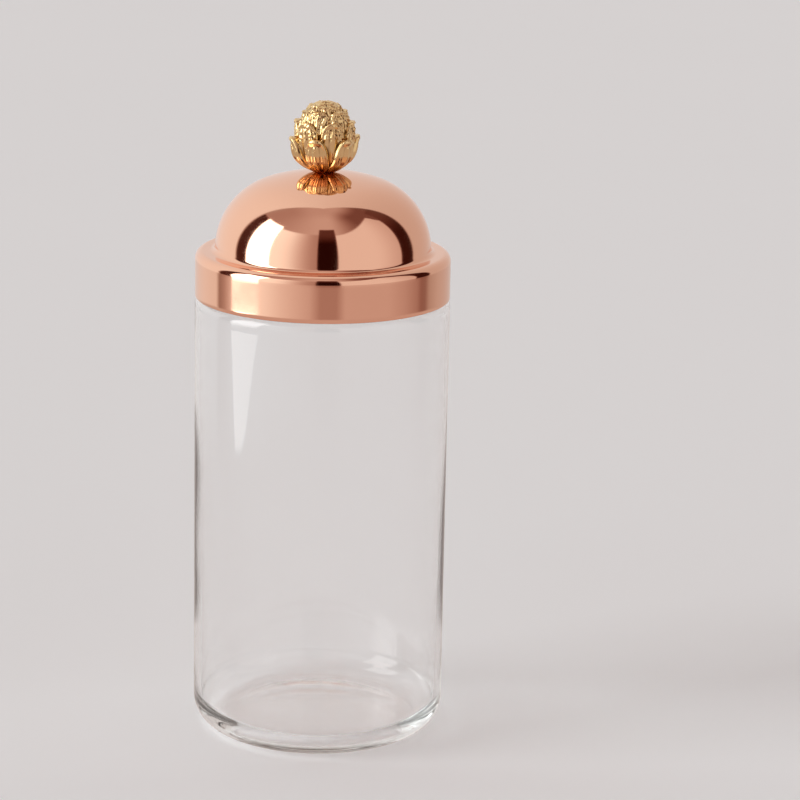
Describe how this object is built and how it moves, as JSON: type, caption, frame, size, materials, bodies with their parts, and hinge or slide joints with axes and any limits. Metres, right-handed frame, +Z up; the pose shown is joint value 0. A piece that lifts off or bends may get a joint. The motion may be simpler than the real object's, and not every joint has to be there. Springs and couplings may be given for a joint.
{
  "type": "lidded glass canister",
  "caption": "Tall cylindrical clear glass storage jar with a domed copper plug lid, silicone seal and cast artichoke knob; the lid lifts off and turns.",
  "frame": {"origin": "on the canister's axis, in the plane of the foot ring that it stands on", "axes": "+Z up along the axis of jar and lid, -Y towards the viewer's side"},
  "size_m": [0.146, 0.146, 0.3695],
  "materials": {
    "clear_glass": "clear, polished",
    "polished_copper": "mirror polished copper",
    "polished_brass": "polished cast brass",
    "silicone": "translucent matte silicone",
    "zinc_steel": "zinc plated steel"
  },
  "bodies": {
    "jar": {"glass_jar": "clear_glass"},
    "seal": {"seal_ring": "silicone"},
    "lid": {"lid_shell": "polished_copper", "plug_ring": "polished_copper", "knob": "polished_brass", "flat_washer": "zinc_steel", "lock_washer": "zinc_steel", "knob_screw": "zinc_steel"}
  },
  "joints": [
    {"name": "lid_lift", "type": "slide", "parent": "jar", "child": "seal", "axis": [0, 0, 1], "range_m": [0, 0.06]},
    {"name": "lid_turn", "type": "hinge", "parent": "seal", "child": "lid", "pos_m": [0, 0, 0.28], "axis": [0, 0, 1], "continuous": true}
  ]
}
